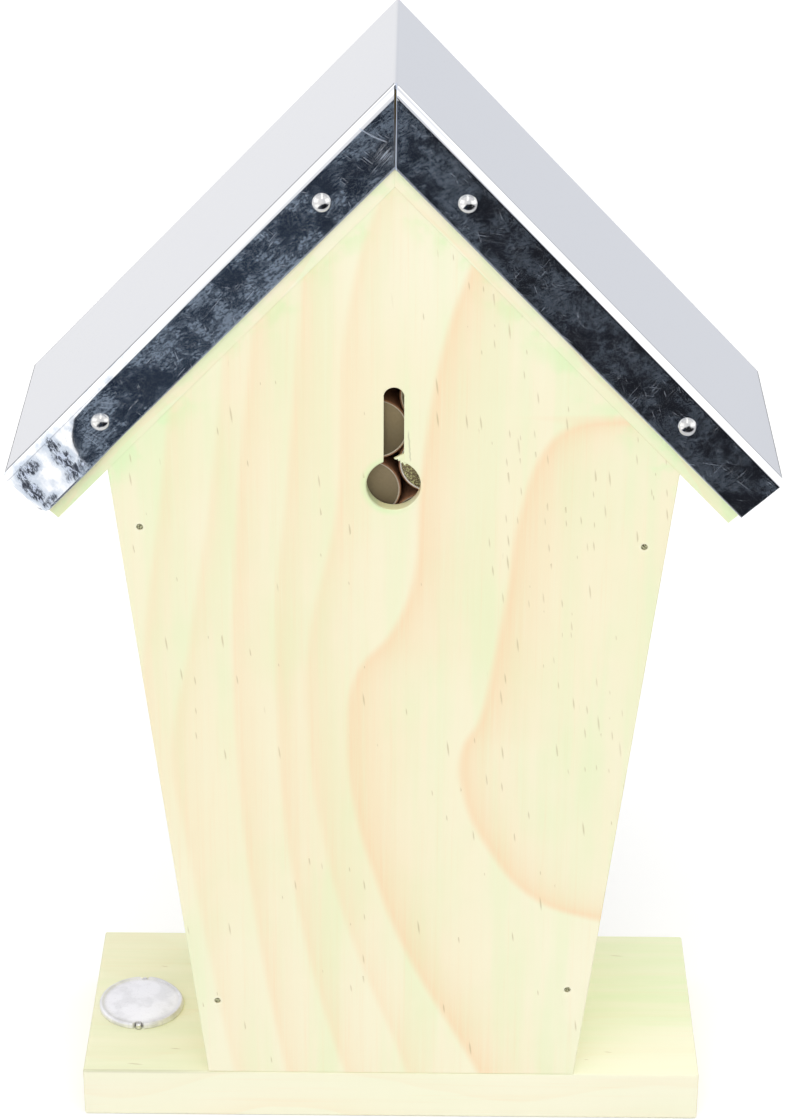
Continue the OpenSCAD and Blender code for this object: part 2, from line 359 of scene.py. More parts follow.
def ring_edge(f, along, across, line, strength, fade, width=1.25):
    """One growth ring drawn over a face: sharp on the near side, fading on the far side.
    line is (place along the grain, place across it) in millimetres."""
    points = [(a / RING_REACH, (c - RING_LOW) / RING_ROOM) for a, c in line]
    places = []
    for place in (along, along + 1.0):
        curve = f.node("ShaderNodeFloatCurve", {"points": points},
                       {"Factor": 1.0, "Value": place / RING_REACH})
        places.append(curve * RING_ROOM + RING_LOW)
    slant = places[1] - places[0]
    distance = (across - places[0]) / (1 + slant * slant).root()
    rise = distance.step(-width, width)
    return rise * (-(distance.high(0.0)) / fade).exp() * strength


def growth_rings(f, along, across, through, pith, gap, seed):
    """The growth rings of a sawn board, from the distance to the tree's heart."""
    sway = (f.noise(along / 90, seed, 0.0, detail=1.0) - 0.5) * 26
    ripple = (f.noise(along / 22, across / 16, through / 16 + seed, detail=2.0) - 0.5) * 2.4
    side = across - pith[0] + sway * 0.4
    deep = through + pith[1]
    radius = (side * side + deep * deep).root() + sway + ripple
    turns = radius / gap
    year = turns.floor()
    grown = turns - year
    luck = f.node("ShaderNodeTexWhiteNoise", {"noise_dimensions": "1D"}, {"W": year + seed * 7.3})
    return (grown ** 3.2) * grown.step(1.0, 0.94) * (luck * 0.75 + 0.25)


FLECK_WIDE, FLECK_LONG = 3.2, 7.0  # one fleck at most in each cell of this size, in millimetres


def resin_flecks(f, along, across, amount, seed):
    """Short leaning dashes in loose crowds: (how much of one lies here, its own luck)."""
    spot_x, spot_y, luck, size = f.cells(across / FLECK_WIDE, along / FLECK_LONG, 0.0)
    ahead = along - spot_y * FLECK_LONG
    aside = across - spot_x * FLECK_WIDE + ahead * 0.12
    dash = ((aside / (size * 0.10 + 0.09)) ** 2.0 + (ahead / (size * 1.5 + 0.3)) ** 2.0).root()
    crowd = f.noise(across / 22, along / 50, seed * 2.0).step(0.38, 0.60) + 0.25
    return dash.step(1.5, 0.4) * (luck - 1 + crowd * amount).step(0.0, 0.03), luck


def pine(name, board, lie, rings=None, pith=(8.0, 46.0), gap=8.5, seed=1.0, flecks=0.16,
         tint=0.35, strength=1.0, marks=(), extra=None):
    """Sawn pine. lie turns a finish's coordinates into (along, across, through) the grain and
    the way that the board's ends face."""
    f = new_finish(name)
    along, across, through, end_way = lie(f)
    late = 0.0
    for line, depth, fade in rings or ():
        band = ring_edge(f, along, across + through * 0.45, line, depth, fade)
        late = band + (1 - band) * late
    if not rings:
        late = growth_rings(f, along, across, through, pith, gap, seed) * strength
    fibre = f.noise(across * 1.1, along * 0.016, through * 1.1 + seed, detail=6.0, roughness=0.62)
    thread = f.noise(across * 4.5, along * 0.06, through * 4.5 + seed, detail=3.0, roughness=0.6)
    cloud = f.noise(across / 26, along / 60, through / 26 + seed * 3, detail=3.0)
    colour = f.blend(cloud.step(0.36, 0.64) * 0.55, board.pale, board.warm)
    damp = f.noise(across / 9, along / 120, through / 17 - seed * 5, detail=3.0, roughness=0.55)
    cloudy = f.noise(across / 20, along / 40, through / 17 + seed * 5, detail=3.0)
    green = (damp.step(0.42, 0.62) * 0.7 + cloudy.step(0.46, 0.66) * 0.5) * tint
    own = {"green": green, "dark": 0.0, "lift": 0.0, "flecks": flecks}
    if extra:
        own.update(extra(f, green))
    colour = f.blend(own["lift"], colour, board.bright)
    colour = f.blend(own["green"].limit(), colour, board.tinted)
    streak = (fibre - 0.5) * 1.5 + (thread - 0.5) * 0.8
    colour = f.blend((late * (0.85 + streak * 0.45)).limit(), colour, board.latewood)
    colour = f.blend(streak.step(0.03, 0.5) * 0.19, colour, board.latewood)
    colour = f.blend((-streak).step(0.05, 0.5) * 0.17, colour, board.bright)

    dash, luck = resin_flecks(f, along, across, own["flecks"], seed)
    colour = f.blend(dash * (luck * 0.27 + 0.10), colour, board.fleck)
    colour = f.blend(own["dark"], colour, board.dark)
    end = abs(f.facing(*end_way)).step(0.72, 0.9)
    radial = f.noise(across * 0.5, through * 0.5, seed, detail=4.0)
    colour = f.blend(end * (0.35 + radial * 0.4), colour, board.end_grain)
    rough = 0.6 + (fibre - 0.5) * 0.3 + end * 0.15
    height = fibre * 0.45 + thread * 0.3
    for (x, z), size in marks:
        right, up = f.x - x, f.z - z
        away = (right * right + up * up).root()
        halo = (away - size * 1.9).step(size, 0.0) * away.step(size * 1.2, size * 1.6)
        colour = f.blend(away.step(size * 1.8, size * 0.9) * 0.45, colour, board.fleck)
        colour = f.blend(halo * 0.35, colour, board.bright)
        height = height - away.step(size * 2.6, size) * 1.2
    return f.done(base_color=colour, roughness=rough, normal=f.bump(height, 0.08, 0.55),
                  specular_ior_level=0.3)


def stamp_heads(node):
    """Where the heads of a node's brads lie, as (x, z) in millimetres."""
    return [((g[:, 0].min() + g[:, 0].max()) / 2 / MM, (g[:, 2].min() + g[:, 2].max()) / 2 / MM)
            for g in solids(node)]


# --- properties ------------------------------------------------------------------------

def tone(label, about, value):
    return bpy.props.FloatVectorProperty(name=label, description=about, default=value,
                                         subtype="COLOR", size=3, min=0.0, max=1.0)


def length(label, about, value, high=1.0):
    return bpy.props.FloatProperty(name=label, description=about, default=value, min=0.0,
                                   max=high, unit="LENGTH", precision=5)


def number(label, about, value, low=0.0, high=1.0):
    return bpy.props.FloatProperty(name=label, description=about, default=value, min=low, max=high)


class BeeHouseTimber(bpy.types.PropertyGroup):
    """The pine boards."""
    edge: length("Edge", "Radius of the boards' worn edges", 0.45 * MM, 0.002)
    pale: tone("Sapwood", "Colour of the plain wood", paint(250, 244, 213))
    warm: tone("Warm wood", "Colour of the warmer patches", paint(250, 241, 206))
    bright: tone("Bright fibre", "Colour of the palest fibres", paint(252, 249, 224))
    tinted: tone("Salt tint", "Colour of wood that holds green preservative", paint(230, 246, 198))
    latewood: tone("Latewood", "Colour of the dark side of a growth ring", paint(250, 219, 178))
    fleck: tone("Flecks", "Colour of the resin flecks", paint(160, 132, 58))
    # The dark gap tone colours real cracks, and it also paints shade behind the open seam and
    # along one side of the keyhole's round hole.
    dark: tone("Dark gaps", "Colour of the cracks and of the wood behind the open seam",
               paint(96, 82, 44))
    end_grain: tone("End grain", "Colour of the boards' cut ends", paint(232, 216, 168))


class BeeHouseSteel(bpy.types.PropertyGroup):
    """The folded roof sheet."""
    edge: length("Edge", "Radius of the sheet's cut edges", 0.12 * MM, 0.0002)
    metal: tone("Steel", "Colour of the polished steel", (0.83, 0.84, 0.86))
    haze: tone("Haze", "Colour of the smudges", paint(150, 167, 188))
    scuff: tone("Scuff", "Darker colour of the scuffs by the flared corner", paint(34, 42, 58))
    # On the cut edges this pale tone is partly the edge's own dull finish and partly a painted
    # highlight.
    scuff_pale: tone("Pale scuff", "Paler colour of those scuffs and of cut edges",
                     paint(205, 216, 236))
    polish: number("Polish", "Roughness of the clean steel", 0.05)
    flare: bpy.props.FloatProperty(name="Flare", description="How far one flange end is bent out",
                                   default=math.radians(5.6), min=0.0, max=0.11, subtype="ANGLE")
    flare_start: length("Flare start", "Distance from the eave where the bend starts", 26 * MM)
    flare_end: length("Flare end", "Distance from the eave where the bend is full", 12 * MM)


class BeeHouseFixings(bpy.types.PropertyGroup):
    """Nails and badge."""
    bright: tone("Bright nails", "Colour of the domed nails", (0.80, 0.79, 0.77))
    dull: tone("Brads", "Colour of the brads", paint(92, 84, 58))
    dust: tone("Dust", "Colour of the wood dust that is pressed into the brads' heads",
               paint(196, 196, 158))
    badge: tone("Badge", "Colour of the blank badge", (0.97, 0.96, 0.98))
    rim: length("Badge rim", "Width of the badge's pressed rim", 1.1 * MM)


class BeeHouseCard(bpy.types.PropertyGroup):
    """The nesting tubes."""
    # The tubes' own card colour, set darker than the card itself to paint the shade in the gaps
    # between the tubes.
    card: tone("Card", "Colour of the tubes' outsides", paint(140, 100, 74))
    inside: tone("Inside", "Colour of the tubes' insides", paint(150, 132, 112))
    rim: tone("Cut rim", "Colour of the cut rims", paint(190, 178, 160))
    cap: tone("End disc", "Colour of the discs that close the tubes", paint(148, 133, 106))
    moss: tone("Crumbs", "Colour of the crumbs on some discs", paint(206, 206, 150))
    oval: number("Oval", "How far a tube is pressed out of round", 0.004, 0.0, 0.01)


class BeeHouseStudio(bpy.types.PropertyGroup):
    """Floor, lamps and camera."""
    reach: length("Floor", "Half the width of the floor", 3.0, 10.0)
    sky: number("Sky level", "Light that comes evenly from all round", 0.70, 0.0, 2.0)
    key: number("Key lamp", "Power of the large lamp overhead, in watts", 11.0, 0.0, 200.0)
    shade: tone("Shade card", "Colour of the card that the polished flanges mirror",
                (0.011, 0.012, 0.016))
    shade_blue: tone("Shade card, far half", "Colour of the half of that card beside the badge",
                     (0.017, 0.026, 0.044))
    front_near: tone("Front card", "Colour of the card that the front flanges mirror",
                     (0.04, 0.045, 0.06))
    front_far: tone("Front card, far end", "Colour of that card's far end", (0.16, 0.17, 0.19))
    lens: number("Lens", "Focal length in millimetres", 100.52, 10.0, 300.0)


class BeeHouseSettings(bpy.types.PropertyGroup):
    """All that a user would change."""
    timber: bpy.props.PointerProperty(type=BeeHouseTimber)
    steel: bpy.props.PointerProperty(type=BeeHouseSteel)
    fixings: bpy.props.PointerProperty(type=BeeHouseFixings)
    card: bpy.props.PointerProperty(type=BeeHouseCard)
    studio: bpy.props.PointerProperty(type=BeeHouseStudio)


# --- boards ----------------------------------------------------------------------------

HOLE_HEIGHT = 172.0  # height of the middle of the keyhole's round hole, in millimetres
SLOT_REACH = 160 * MM  # the keyhole lies above this height
HEAD_REACH = 1.2 * MM  # wood this near to the middle of a brad's head has closed up round it
CLOSED = 0.2  # by this share of its distance
UNDER_SHEET = 15.7  # how far the back board's upper edges lie under the sheet, in millimetres

# The growth rings on the back board: (line as (height, place across), strength, fade)
BACK_RINGS = (
    (((0, -36), (45, -43), (84, -48.6), (100, -50.8), (132, -45.9), (172, -40), (205, -36.6)),
     0.42, 5.0),
    (((0, -57), (60, -60), (137, -55.5), (162, -52.2), (192, -48.6)), 0.45, 4.0),
    (((0, -23), (34, -28.8), (60, -32.4), (109, -35.8), (153, -35.2), (204, -30.8)), 0.58, 4.5),
    (((0, -7), (40, -18.1), (68, -23), (101, -25.9), (143, -26), (170, -23.6), (223, -19.6)),
     0.56, 5.0),
    (((0, 7), (17, 2.7), (46, -7.4), (74, -14.9), (112, -19.4), (133, -18.8), (166, -12.5),
      (213, -9.9), (240, -2.9)), 0.52, 5.5),
    (((0, 27), (14, 20.9), (52, 2), (71, -4.3), (88, -8.5), (107, -10.2), (123, -8.6),
      (136, 0.2), (148, 4.5), (173, 6.1), (205, 10.7), (224, 16.5)), 0.95, 6.5),
    (((56, 62), (58, 49), (65, 32.3), (78, 22.4), (91, 16.9), (103, 15.8), (113, 20.1),
      (128, 23), (146, 25.7), (166, 28.3), (181, 33.2), (187.5, 40.6), (189, 52), (189.5, 62)),
     1.0, 6.0),
)


def upright(f):
    """The grain of the back board runs up."""
    return f.z, -f.x, 30 - f.y, (0, 0, 1)


def off_roof(x, z):
    """Height of a place off the outer face of the nearer slope, negative underneath."""
    return abs(x) * SIN + (z - RIDGE_TIP) * COS


def roof_axes(f, aside):
    """A finish's (distance down a slope, height off its outer face), in millimetres; aside is
    the distance from the ridge to that slope's side."""
    rise = f.z - RIDGE_TIP / MM
    return aside * COS - rise * SIN, aside * SIN + rise * COS


def side_name(side):
    """The word for a side in the names of finishes."""
    return "left" if side == LEFT else "right"


def dress_base_board(board):
    """The base board, with its own stains on top."""
    made = clean_copy("base_board")
    round_edges(made, board.edge, 3 * MM)

    def streaks(f, green):
        """Greener on top, most of all at one end, with a pale corner there."""
        top = f.z.step(12.2, 13)
        streak = f.noise(f.x / 45, f.y / 5, 3.0, detail=4.0, roughness=0.55).step(0.30, 0.72)
        one_end, other_end = f.x.step(-20, -50), f.x.step(30, 60)
        pale = one_end * (f.y - 14 - (f.x + 40) * 0.25).step(0, 10)
        stain = streak * (one_end * 0.22 + 0.15) + one_end * 0.22 + other_end * 0.14
        edge = f.y.step(29.2, 29.7) * f.z.step(12.2, 12.7) * other_end * 0.2
        grey = top * other_end * (streak * 0.03 + f.y.step(12, -20) * 0.03 + 0.03)
        return {"green": green * 0.3 + top * stain * (1 - pale * 0.8), "dark": edge + grey,
                "lift": top * (pale * 0.2 + one_end * 0.35) + (1 - top) * 0.4 + 0.6}
    finish = pine("pine_base", board, lambda f: (f.x, f.y + 8, f.z * -1, (1, 0, 0)),
                  pith=(-14.0, 60.0), gap=9.0, seed=3.0, tint=0.3, flecks=0.05, strength=0.35,
                  extra=streaks)
    piece("pine_base_board", finished(made), [finish], ["base_board"])


def torn_fibres(made):
    """The sliver that the drill left where the keyhole's slot meets its round hole."""
    outline = ((-2.9, 179.9), (-1.7, 179.3), (-0.75, 178.75), (-0.05, 178.35), (-0.5, 178.1),
               (-0.85, 178.25), (-1.05, 177.75), (-1.4, 177.95), (-1.6, 177.3), (-2.0, 177.5),
               (-2.3, 176.9), (-3.2, 177.4))
    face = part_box("back_board")[1].y
    rows = []
    for depth, lift in ((0.25, 0.0), (0.9, -0.12), (1.5, -0.3)):
        row = []
        for x, z in outline:
            inward = depth + (x + 3) * 0.08
            row.append(made.verts.new((x * MM, face - inward * MM, (z + lift) * MM)))
        rows.append(row)
    made.faces.new(rows[0])
    made.faces.new(reversed(rows[-1]))
    for near, far in zip(rows, rows[1:]):
        for i in range(len(outline)):
            made.faces.new((near[i - 1], near[i], far[i], far[i - 1]))


def by_keyhole(edge, reach):
    """Whether an edge is part of the keyhole, within reach of the middle in millimetres."""
    return all(abs(v.co.x) < reach * MM and v.co.z > SLOT_REACH for v in edge.verts)


def dress_back_board(board):
    """The thin back board: its wood has closed up round the brads, and the upper edges stay
    sharp where they meet the roof boards."""
    made = clean_copy("back_board")
    under_roof = min(off_roof(v.co.x, v.co.z) for v in made.verts if v.co.z > 0.23)
    round_edges(made, board.edge * 0.7, 3 * MM,
                keep=lambda e: not by_keyhole(e, 3) and any(
                    off_roof(v.co.x, v.co.z) < under_roof - 0.1 * MM for v in e.verts))
    round_edges(made, 0.22 * MM, 0.3 * MM, 2,
                lambda e: by_keyhole(e, 7) and e.calc_length() < 3 * MM)
    heads = stamp_heads("back_board_nails")
    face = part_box("back_board")[1].y
    for vert in made.verts:
        for x, z in heads:
            apart = Vector((vert.co.x - x * MM, 0, vert.co.z - z * MM))
            if vert.co.y > face - 0.5 * MM and apart.length < HEAD_REACH:
                vert.co -= apart * CLOSED
    torn_fibres(made)

    def tints(f, green):
        under = -UNDER_SHEET - roof_axes(f, abs(f.x))[1]
        patch = f.noise(f.x / 8, f.z / 8, 4.0, detail=4.0).step(0.44, 0.6)
        joint = under.step(7.0, 0.0) * (patch * 0.6 + 0.12)
        hole = (f.x ** 2.0 + (f.z - HOLE_HEIGHT) ** 2.0).root()
        rim = hole.step(8.0, 6.2) * (f.x.step(-3, 3) * 0.7 + 0.2) * (f.z - 178).step(2, -1)
        crack = f.x + 3.42 - (f.z - 181.7) * 0.072 + (f.noise(f.z / 1.3, 0.0) - 0.5) * 0.5
        crack = abs(crack).step(0.26, 0.05) * f.z.step(177.6, 178.6) * f.z.step(185.8, 184.0)
        # Painted shade: a thin dark band along one side of the round hole's rim, where the edge
        # lies in shade.
        painted_hole_edge_shade = hole.step(6.5, 6.05) * f.x.step(1, 4) * 0.5
        heart = f.x.step(-14, -28) * f.z.step(55, 75)
        return {"green": green + joint + rim, "dark": crack * 0.26 + painted_hole_edge_shade * 0.5,
                "lift": f.z.step(100, 30) * 0.42 + f.z.step(195, 228) * 0.55 + 0.05,
                "flecks": heart * 0.42 + 0.12}
    finish = pine("pine_back", board, upright, rings=BACK_RINGS, seed=1.0, tint=0.42,
                  marks=[(head, 0.5) for head in heads], extra=tints)
    piece("pine_back_board", finished(made), [finish], ["back_board"])


def dress_side_wall(board, side, node):
    """A leaning side wall."""
    made = clean_copy(node)
    round_edges(made, board.edge, 3 * MM)
    finish = pine("pine_wall_" + side_name(side), board,
                  lambda f: (f.z, f.y + side * 5, 60 - f.x * side, (0, 0, 1)),
                  pith=(6.0 * side, 30.0), gap=7.5, seed=5.0 + side, flecks=0.12, tint=0.45,
                  strength=0.8)
    piece("pine_" + node, finished(made), [finish], [node])


def dress_roof_board(board, side, node):
    """A roof board under the sheet, with painted shade where it shows through the open seam."""
    made = clean_copy(node)
    round_edges(made, 0.07 * MM, 3 * MM)

    def lie(f):
        down, off = roof_axes(f, f.x * side)
        return down, f.y + side * 4, off * -1, (side * COS, 0, -SIN)

    def tints(f, green):
        patch = f.noise(f.x / 8, f.z / 8, 4.0, detail=4.0).step(0.44, 0.6)
        # Painted shade: the wood seen through the open seam is darkened, as little light reaches
        # it there.
        painted_seam_shade = abs(f.x).step(0.6, 0.4) * f.y.step(28.5, 29) * f.z.step(245, 246)
        return {"green": green * 0.6 + abs(f.x).step(25, 75) * 0.4 + patch * 0.45,
                "dark": painted_seam_shade, "lift": abs(f.x).step(60, 20) * 0.45}
    finish = pine("pine_roof_" + side_name(side), board, lie,
                  pith=(-9.0 * side, 40.0), gap=7.0, seed=9.0 + side, flecks=0.12, tint=0.4,
                  strength=0.5, extra=tints)
    piece("pine_" + node, finished(made), [finish], [node])


# --- steel -----------------------------------------------------------------------------

# Scuffs beside the flared corner: (distance up from the eave, distance under the fold, half
# the length along the flange, half the width across it), in millimetres
STEEL_SCUFFS = ((4.5, 3.0, 3.2, 1.9), (1.9, 7.0, 1.8, 4.0), (2.8, 11.3, 2.2, 1.3),
                (12.9, 2.8, 1.5, 2.4), (12.2, 6.8, 2.2, 3.0), (12.0, 10.6, 3.4, 2.1))

# The scratches: (turn in degrees, lengthwise scale, seed, share in the cluster)
SCRATCHES = ((38, 0.2, 1.0, 0.0), (-52, 0.16, 5.0, 1.0), (8, 0.12, 9.0, 0.0),
             (71, 0.22, 13.0, 0.3))


def steel_marks(f, down, off, flange, rear):
    """How thick the smudges and the fine rubbing are on the flanges."""
    x, y, z = f.x, f.y, f.z
    film = f.noise(x / 10, y / 10, z / 10, detail=4.0, roughness=0.6).step(0.38, 0.64)
    smudge = f.noise(x / 2.6, y / 2.6, z / 2.6 + 4, detail=6.0, roughness=0.7).step(0.42, 0.68)
    rubbed = f.noise(down / 6, y / 3, off * 2.2, detail=3.0, roughness=0.6).step(0.46, 0.68)
    grain = f.noise((z * 0.5 - x * 0.87) / 0.95, (z * 0.87 + x * 0.5) / 0.45, y, detail=4.0,
                    roughness=0.75).step(0.39, 0.63)
    marks = film * 0.26 + smudge * (film * 0.48 + 0.18) * (grain * 1.1 + 0.2)
    marks = marks + rubbed * (film * 0.25 + 0.05) + grain * (film * 0.3 + 0.2)
    marks = (marks.step(0.05, 0.90) * 0.96 + 0.04) * flange
    return marks * (x.step(-25, 25) * 0.62 + 0.33) * (1 - rear * x.step(67, 71))


def steel_scratches(f, flange, rear):
    """Straight scratches, a cluster of short ones beside the rear seam, and one arc there."""
    x, y, z = f.x, f.y, f.z
    cluster = ((x - 2.2) ** 2.0 / 5 + (z - 248.9) ** 2.0 / 4) * -1
    cluster = cluster.exp() * rear * x.step(0.2, 0.6)
    scratches = 0.0
    for turn, reach, seed, close in SCRATCHES:
        c, s = math.cos(math.radians(turn)), math.sin(math.radians(turn))
        cut = f.noise((x * c + z * s) * reach, (z * c - x * s) * 5.5, y * 1.3 + seed, detail=1.0)
        worn = f.noise(x / 6 + seed, y / 6, z / 6).step(0.48, 0.62)
        gathered = cut.step(0.52, 0.60) * cluster * close
        cut = cut.step(0.66, 0.76) * worn * (flange * 0.8 + 0.05) + gathered
        scratches = cut.high(scratches)
    arc = ((x + 5.2) ** 2.0 + (z - 272.6) ** 2.0).root()
    arc = abs(arc - 21.9).step(0.2, 0.07) * x.step(1.5, 2.0) * x.step(7.8, 7.2) * rear
    return scratches.high(arc * 0.9 * z.step(256, 255))


def steel_scuffs(f, down, off, rear):
    """The scuffs beside the flared corner: (where they are, where they are pale, the haze
    round them)."""
    corner = rear * f.x.step(50, 60)
    lean, tall = down * 0.95 + off * 0.31, off * 0.95 - down * 0.31
    ragged = f.noise(lean / 0.6, f.y / 1.6, tall / 2.0, detail=6.0, roughness=0.74, distortion=0.2)
    cloudy = f.noise(down / 2.4, f.y / 2, off / 3.2 + 3, detail=3.0)
    patches = -1.0
    for along, across, long, wide in STEEL_SCUFFS:
        apart = ((down - SLOPE / MM + along) / long) ** 2.0 + ((off + across) / wide) ** 2.0
        patches = (1.2 - apart).high(patches)
    scuffed = (patches + (ragged - 0.5) * 3.0 + (cloudy - 0.5) * 1.6).step(0.25, 1.05)
    scuffed = scuffed * patches.step(-0.8, -0.2) * corner
    tinged = (patches + (cloudy - 0.5) * 5.0).step(-1.5, 0.5) * patches.step(-2.4, -1.2) * corner
    inked = f.noise(lean / 0.7, f.y, tall / 1.5 - 6, detail=5.0, roughness=0.72, distortion=0.6)
    return scuffed, inked.step(0.46, 0.60), tinged


def polished_steel(steel):
    """Mirror steel with smudges, fine scratches, scuffs by one corner and pale cut edges, which
    are partly a painted highlight.
    """
    f = new_finish("polished_steel")
    x, z = f.x, f.z
    down, off = roof_axes(f, abs(x))
    flange = abs(f.facing(0, 1, 0)).step(0.93, 0.985) * off.step(-1.7, -2.1)
    rear = f.y.step(28, 29.5)
    marks = steel_marks(f, down, off, flange, rear)
    scratches = steel_scratches(f, flange, rear)
    scuffed, inked, tinged = steel_scuffs(f, down, off, rear)
    # The pale cut edges along the rear mitre and the flanges' lower edge are partly the raw edge's
    # own dull finish and partly a painted highlight.
    seam = abs(x).step(0.42, 0.3) * rear * z.step(244, 245) * (x.step(0.1, -0.1) * 0.8 + 0.2)
    rim = off.step(-12.2, -12.4) * 0.7 + seam
    dull = (scratches * 0.3 + rim * 0.4 + scuffed * 0.8).limit()
    colour = f.blend(tinged * 0.6, steel.metal, steel.haze)
    colour = f.blend((scratches * 0.8 + rim * 0.8).limit(), colour, steel.scuff_pale)
    colour = f.blend(scuffed, colour, f.blend(inked, steel.scuff, steel.scuff_pale))
    rough = marks * 0.05 + scratches * 0.3 + rim * 0.25 + scuffed * 0.25 + steel.polish
    wave = f.noise(x / 26, f.y / 30, z / 26, detail=1.0)
    dents = f.bump(wave, 0.04, 0.6)
    clean = f.shine(base_color=colour, metallic=1 - dull, roughness=rough, normal=dents)
    hazy = f.shine(base_color=steel.haze, roughness=0.6, normal=dents)
    return f.close(f.node("ShaderNodeMixShader", {}, {0: marks * 0.52, 1: clean, 2: hazy}))


FOLD = 1.6 * MM  # depth of the fold, above the flat of a flange
CORNER = 1.2 * MM  # radius of the flared corner
SEAM = 0.42 * MM  # what lies nearer the middle than this belongs to the ridge seam


def cut_across(made, point, way):
    """Divides every face that a plane crosses."""
    bmesh.ops.bisect_plane(made, geom=made.verts[:] + made.edges[:] + made.faces[:],
                           plane_co=point, plane_no=way, dist=1e-7)


def flare(vert, steel, from_fold, deep, down, off, tip):
    """Bends one end of the rear flange out and rounds its corner. from_fold is how far the
    vertex lies under the fold, deep the depth of the flange."""
    from_ridge = (vert.co - tip).dot(down)
    near = 1 - from_fold / deep
    early = (near ** 2 * 4.0 + near ** 6 * 9) * MM
    bend = share(from_ridge + early, SLOPE - steel.flare_start, SLOPE - steel.flare_end)
    vert.co.y += (from_fold - FOLD) * math.tan(bend * steel.flare)
    past, under = from_ridge - SLOPE + CORNER, from_fold - deep + CORNER
    if past > 0 and under > 0 and math.hypot(past, under) > CORNER:
        pull = 1 - CORNER / math.hypot(past, under)
        vert.co -= down * (past * pull)
        vert.co += off * (under * pull)


def dress_roof_sheet(steel):
    """The folded sheet: one flange end flares out, its corner is rounded, and the rear
    mitre closes towards its foot."""
    made = clean_copy("roof_sheet")
    round_edges(made, steel.edge, 2 * MM, 2)
    low, high = SHEET_LOW, SHEET_HIGH
    down, off, tip = Vector((COS, 0, -SIN)), Vector((SIN, 0, COS)), Vector((0, 0, RIDGE_TIP))
    for i in range(int(steel.flare_start / MM) + 4):
        cut_across(made, tip + down * (SLOPE - i * MM), down)
    deep = max(-(v.co - tip).dot(off) for v in made.verts if v.co.x > 0)
    for i in range(1, 12):
        cut_across(made, tip - off * (i * 1.1 * MM), off)
    for end in (low.y + 3.2 * MM, high.y - 3.2 * MM):
        cut_across(made, Vector((0, end, 0)), Vector((0, 1, 0)))
    foot = RIDGE_TIP - deep / COS
    for vert in made.verts:
        if vert.co.y < high.y - 3 * MM:
            continue
        if abs(vert.co.x) < SEAM and vert.co.z < high.z - 2.5 * MM:
            closed = 1 - share(vert.co.z, foot, high.z)
            vert.co.x -= math.copysign(0.2 * MM * closed, vert.co.x)
        from_fold = -(vert.co - tip).dot(off)
        if vert.co.x > 0 and from_fold > FOLD and vert.co.y > high.y - 0.8 * MM:
            flare(vert, steel, from_fold, deep, down, off, tip)
    piece("folded_roof_sheet", finished(made), [polished_steel(steel)], ["roof_sheet"],
          24)


# --- nails and badge -------------------------------------------------------------------

def bright_metal(name, colour, rough, spread):
    """Bright metal with a little tarnish."""
    f = new_finish(name)
    worn = f.noise(f.x / 0.8, f.y / 0.8, f.z / 0.8, detail=4.0, roughness=0.6)
    tarnish = f.noise(f.x / 1.7, f.y / 1.7, f.z / 1.7, detail=2.0).step(0.5, 0.7)
    shade = tuple(c * 0.55 for c in colour)
    return f.done(base_color=f.blend(tarnish * spread, colour, shade), metallic=1.0,
                  roughness=worn.step(0.3, 0.8) * 0.25 + rough, normal=f.bump(worn, 0.03, 0.5))


SHANK = 0.8 * MM  # radius of a domed nail's shank
DOME_STEPS = 12


def dress_dome_nails(fixings, end, node):
    """Domed heads, slightly flattened by the hammer, over pointed shanks."""
    made = bmesh.new()
    luck = random.Random(11 + end)
    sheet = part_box("roof_sheet")[1].y
    for group in solids(node):
        lo, hi = group.min(0), group.max(0)
        radius = (hi[0] - lo[0]) / 2
        rise = (hi[1] - sheet) if end == REAR else (-sheet - lo[1])
        depth = (sheet - lo[1]) if end == REAR else (hi[1] + sheet)
        flat = luck.uniform(0.55, 0.75)
        hit = luck.uniform(0, 6.28)
        profile = [(0, -depth), (SHANK, -depth + 2 * SHANK), (SHANK, -0.02 * MM),
                   (radius * 0.97, 0.0), (radius, 0.08 * MM)]
        for i in range(1, DOME_STEPS + 1):
            turn = math.pi / 2 * i / DOME_STEPS
            h = math.sin(turn) ** 0.86 * rise
            profile.append((radius * math.cos(turn) ** (1.05 - flat * 0.25), h))
        profile[-1] = (0.0, rise)

        def dent(r, h, turn):
            if h <= 0.1 * MM:
                return r, h
            return r * (1 + 0.025 * math.sin(2 * turn + hit)), h - max(
                0.0, math.cos(turn - hit)) * (h / rise) ** 2 * 0.05 * MM
        turned(made, profile, Vector(((lo[0] + hi[0]) / 2, end * sheet, (lo[2] + hi[2]) / 2)),
               (0, end, 0), (1, 0, 0), 40, wobble=dent)
    end_name = "rear" if end == REAR else "front"
    finish = bright_metal("bright_nail_" + end_name, tuple(fixings.bright), 0.07, 0.25)
    piece(end_name + "_dome_nails", finished(made), [finish], [node], 50)


